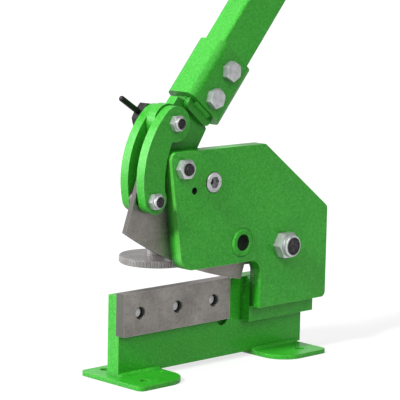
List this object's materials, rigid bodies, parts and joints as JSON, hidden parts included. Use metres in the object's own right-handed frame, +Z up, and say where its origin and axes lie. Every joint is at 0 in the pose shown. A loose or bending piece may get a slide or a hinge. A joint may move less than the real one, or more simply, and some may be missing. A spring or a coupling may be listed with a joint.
{
  "type": "bench lever shear",
  "caption": "Hand-powered bench shear: upright side plate, bowed upper blade driven by a long lever through crescent links, straight lower blade, round hold-down foot.",
  "frame": {"origin": "centre of the four bench bolt holes, on the bench surface under the feet", "axes": "+X along the blades from their open end to the blade pivot, +Y from the side plate towards the hold-down foot, +Z up"},
  "size_m": [0.3446, 0.1002, 0.539],
  "materials": {
    "green_paint": "bright green powder coat, satin",
    "blade_steel": "ground tool steel, slightly warm grey",
    "zinc_plate": "bright zinc plating",
    "turned_steel": "turned steel, grey",
    "black_steel": "black oxide, semi-matt",
    "black_plastic": "moulded black plastic"
  },
  "bodies": {
    "frame": {"base_plate": "green_paint", "front_foot": "green_paint", "rear_foot": "green_paint", "foot_welds": "green_paint", "spacer_plate": "green_paint", "spacer_welds": "green_paint", "side_plate": "green_paint", "bar_bush": "green_paint", "lower_blade": "blade_steel", "lower_blade_bolts": "zinc_plate", "lower_blade_washers": "zinc_plate", "lever_pivot_bolt": "black_steel", "lever_pivot_washer": "zinc_plate", "lever_pivot_nut": "zinc_plate", "blade_pivot_bolt": "black_steel", "blade_pivot_washer": "zinc_plate", "blade_pivot_nut": "zinc_plate", "cap_screw": "zinc_plate", "arm_bush": "turned_steel", "arm_nut": "zinc_plate", "hold_down_arm": "green_paint", "hold_down_lock_nut": "zinc_plate"},
    "lever": {"lever_plate": "green_paint", "handle_socket": "green_paint", "socket_welds": "green_paint", "handle_tube": "green_paint", "packing_plates": "green_paint", "socket_bolts": "zinc_plate", "socket_nuts": "zinc_plate", "handle_plug": "black_plastic"},
    "links": {"link_near": "green_paint", "link_far": "green_paint", "lower_link_bolt": "black_steel", "link_bush": "zinc_plate", "link_nuts": "zinc_plate", "upper_link_screw": "black_steel", "tommy_bar": "black_steel"},
    "upper_blade": {"upper_blade": "blade_steel"},
    "hold_down": {"hold_down_screw": "turned_steel", "hold_down_disc": "turned_steel"}
  },
  "joints": [
    {"name": "lever_turn", "type": "hinge", "parent": "frame", "child": "lever", "pos_m": [-0.0581, -0.009, 0.186], "axis": [0, -1, 0], "range_deg": [0, 90]},
    {"name": "blade_turn", "type": "hinge", "parent": "frame", "child": "upper_blade", "pos_m": [0.0699, -0.0115, 0.106], "axis": [0, -1, 0], "range_deg": [0, 17.11]},
    {"name": "link_turn", "type": "hinge", "parent": "lever", "child": "links", "pos_m": [-0.0656, -0.009, 0.226], "axis": [0, -1, 0], "range_deg": [-66, 0]},
    {"name": "hold_down_slide", "type": "slide", "parent": "frame", "child": "hold_down", "axis": [0, 0, 1], "range_m": [-0.016, 0.02]}
  ],
  "couplings": [
    {"joint": "blade_turn", "follows": "lever_turn", "ratio": 0.19},
    {"joint": "link_turn", "follows": "lever_turn", "ratio": -0.733}
  ]
}
